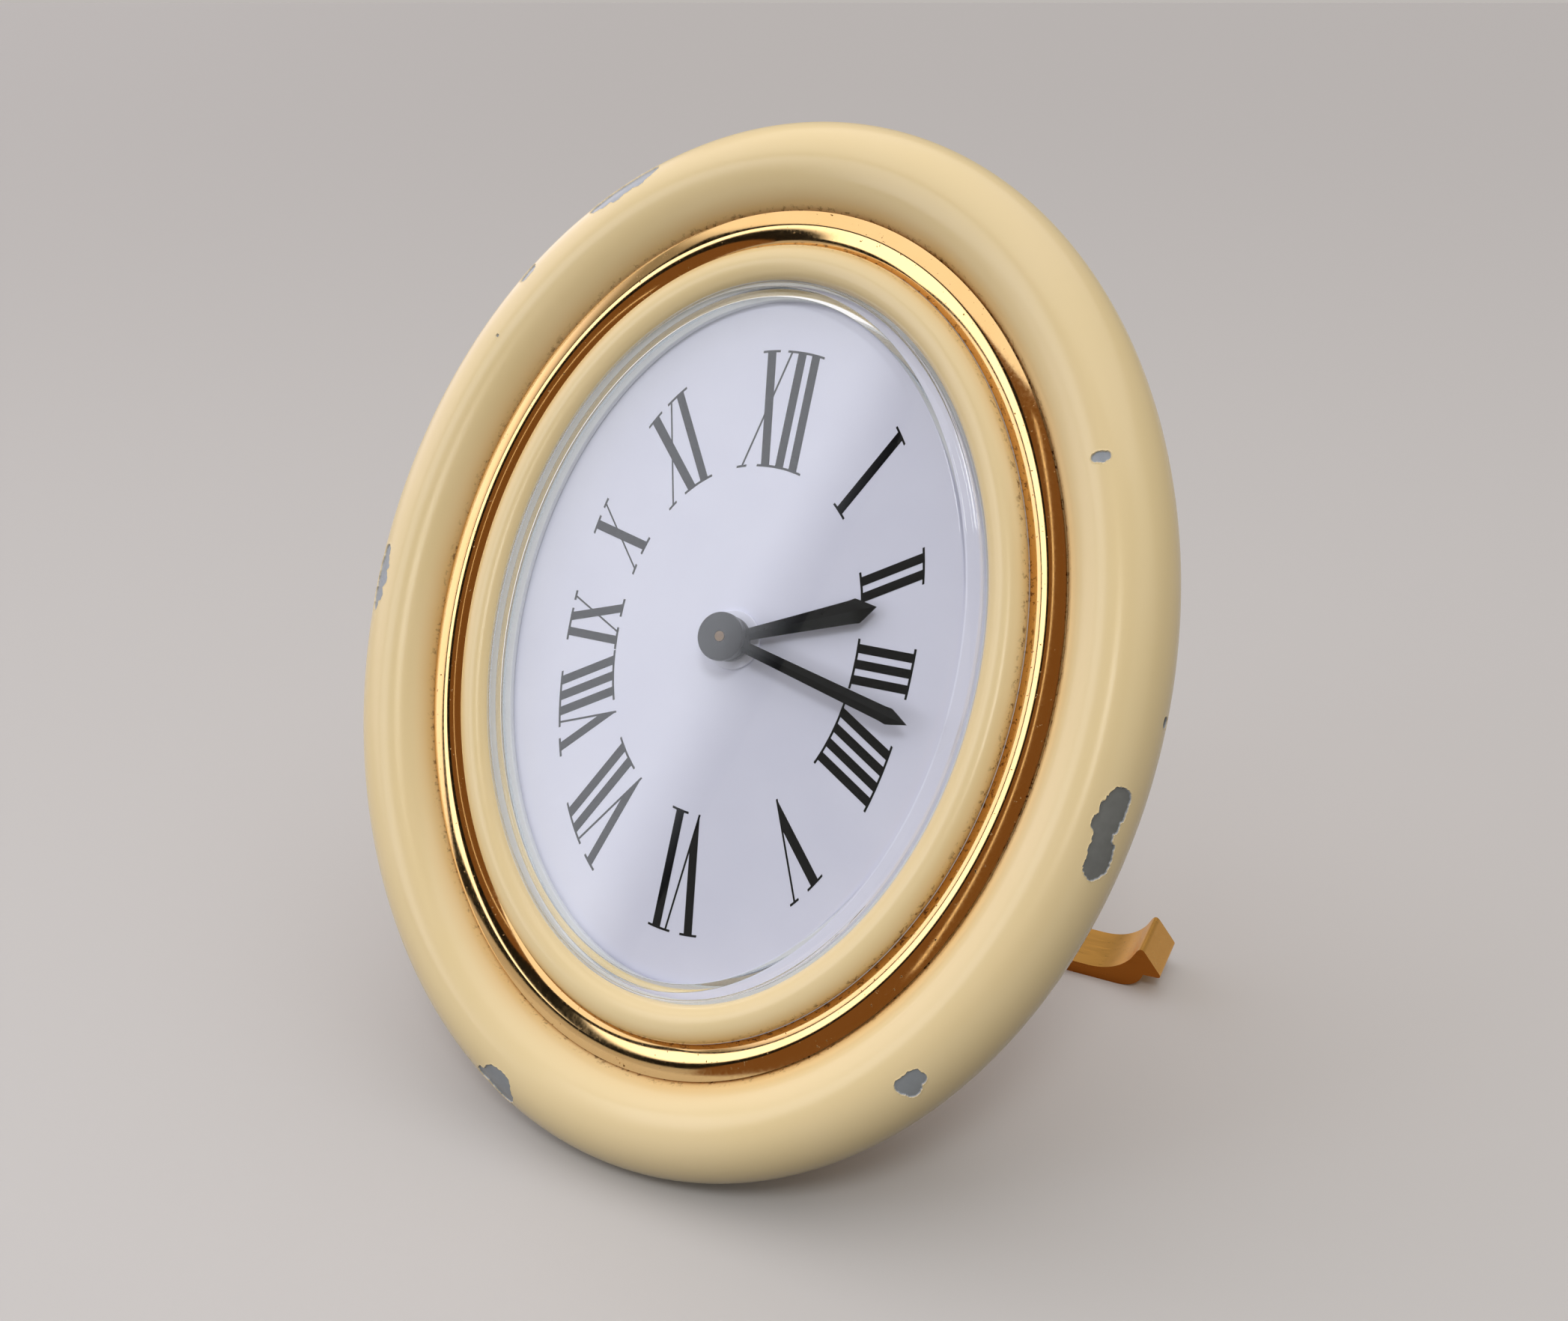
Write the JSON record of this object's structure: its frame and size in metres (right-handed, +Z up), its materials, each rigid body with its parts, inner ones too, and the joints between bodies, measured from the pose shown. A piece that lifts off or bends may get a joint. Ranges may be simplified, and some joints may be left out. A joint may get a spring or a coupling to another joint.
{
  "type": "desk clock",
  "caption": "Oval analogue desk clock with a lacquered round-section frame, gilt trim ring, raised crystal, quartz movement and a fold-up stand behind its leaning case.",
  "frame": {"origin": "on the surface that the clock stands on, under the middle of its overall box", "axes": "+Z up, -Y the way the dial faces, +X to the right seen from the front"},
  "size_m": [0.0736, 0.0528, 0.0808],
  "materials": {
    "ivory_lacquer": "glossy ivory lacquer on cast metal, chipped in places",
    "polished_gilt": "polished gilt plating",
    "brushed_gilt": "satin gilt",
    "mineral_glass": "clear polished crystal",
    "white_dial": "smooth bluish-white enamel paint with printed black numerals",
    "grey_plastic": "moulded light grey plastic",
    "black_plastic": "moulded black plastic",
    "white_gasket": "soft white gasket rubber",
    "black_hand": "glossy black lacquered sheet metal",
    "grey_cap": "satin dark grey",
    "movement_brass": "machined brass",
    "nickel": "nickel plating",
    "steel": "plain steel",
    "copper_wire": "enamelled copper winding",
    "green_board": "green circuit board"
  },
  "bodies": {
    "case": {"case_frame": "ivory_lacquer", "trim_ring": "polished_gilt", "inner_bezel": "ivory_lacquer", "crystal": "mineral_glass", "crystal_gasket": "white_gasket", "dial_spacer": "grey_plastic", "dial": "white_dial", "dial_eyelet": "white_dial", "movement_ring": "grey_plastic", "main_plate": "movement_brass", "plate_screw_1": "steel", "plate_screw_2": "steel", "plate_screw_3": "steel", "plate_screw_4": "steel", "train_bridge": "movement_brass", "bridge_screw_1": "steel", "bridge_screw_2": "steel", "bridge_screw_3": "steel", "stator": "steel", "coil_core": "steel", "coil_winding": "copper_wire", "motor_screw_1": "steel", "motor_screw_2": "steel", "circuit_board": "green_board", "quartz_can": "nickel", "chip_cap": "black_plastic", "battery_holder": "black_plastic", "battery_cell": "nickel", "contact_minus": "movement_brass", "contact_plus": "movement_brass", "rear_cover": "brushed_gilt", "rear_screw_1": "brushed_gilt", "rear_screw_2": "brushed_gilt", "rear_screw_3": "brushed_gilt", "rear_screw_4": "brushed_gilt", "hinge_bracket": "brushed_gilt", "bracket_screw_1": "brushed_gilt", "bracket_screw_2": "brushed_gilt", "hinge_pin": "steel"},
    "minute_group": {"centre_arbor": "movement_brass", "minute_hand": "black_hand", "hand_cap": "grey_cap"},
    "hour_group": {"hour_wheel": "movement_brass", "hour_hand": "black_hand"},
    "minute_reducer": {"minute_wheel": "movement_brass"},
    "setting_group": {"set_shaft": "steel", "set_knob": "brushed_gilt"},
    "intermediate_group": {"intermediate_wheel": "movement_brass"},
    "rotor_group": {"rotor": "steel"},
    "third_group": {"third_wheel": "movement_brass"},
    "centre_group": {"centre_wheel": "movement_brass"},
    "hatch_group": {"battery_hatch": "brushed_gilt"},
    "stand_group": {"stand_leg": "polished_gilt"}
  },
  "joints": [
    {"name": "minute_turn", "type": "hinge", "parent": "case", "child": "minute_group", "pos_m": [0, -0.00233, 0.04007], "axis": [0, -0.8829, 0.4695], "continuous": true},
    {"name": "hour_turn", "type": "hinge", "parent": "case", "child": "hour_group", "pos_m": [0, -0.00233, 0.04007], "axis": [0, -0.8829, 0.4695], "continuous": true},
    {"name": "minute_wheel_turn", "type": "hinge", "parent": "case", "child": "minute_reducer", "pos_m": [0.00383, 0.00094, 0.04197], "axis": [0, -0.8829, 0.4695], "continuous": true},
    {"name": "setting_turn", "type": "hinge", "parent": "case", "child": "setting_group", "pos_m": [0.00766, 0.00795, 0.04188], "axis": [0, -0.8829, 0.4695], "continuous": true},
    {"name": "intermediate_turn", "type": "hinge", "parent": "case", "child": "intermediate_group", "pos_m": [-0.00818, -0.00005, 0.03044], "axis": [0, -0.8829, 0.4695], "continuous": true},
    {"name": "rotor_turn", "type": "hinge", "parent": "case", "child": "rotor_group", "pos_m": [-0.00418, -0.00114, 0.0284], "axis": [0, -0.8829, 0.4695], "continuous": true},
    {"name": "third_turn", "type": "hinge", "parent": "case", "child": "third_group", "pos_m": [-0.00631, 0.00236, 0.03497], "axis": [0, -0.8829, 0.4695], "continuous": true},
    {"name": "centre_turn", "type": "hinge", "parent": "case", "child": "centre_group", "pos_m": [0, -0.00233, 0.04007], "axis": [0, -0.8829, 0.4695], "continuous": true},
    {"name": "hatch_turn", "type": "hinge", "parent": "case", "child": "hatch_group", "pos_m": [0, 0.0179, 0.05363], "axis": [0, -0.8829, 0.4695], "range_deg": [0, 45]},
    {"name": "stand_fold", "type": "hinge", "parent": "case", "child": "stand_group", "pos_m": [0, -0.00166, 0.00853], "axis": [1, 0, 0], "range_deg": [0, 74]}
  ],
  "couplings": [
    {"joint": "hour_turn", "follows": "minute_turn", "ratio": 0.083333},
    {"joint": "minute_wheel_turn", "follows": "minute_turn", "ratio": -0.33333},
    {"joint": "setting_turn", "follows": "minute_turn", "ratio": 1},
    {"joint": "rotor_turn", "follows": "intermediate_turn", "ratio": -10},
    {"joint": "third_turn", "follows": "intermediate_turn", "ratio": -0.083333},
    {"joint": "centre_turn", "follows": "intermediate_turn", "ratio": 0.0055556}
  ]
}
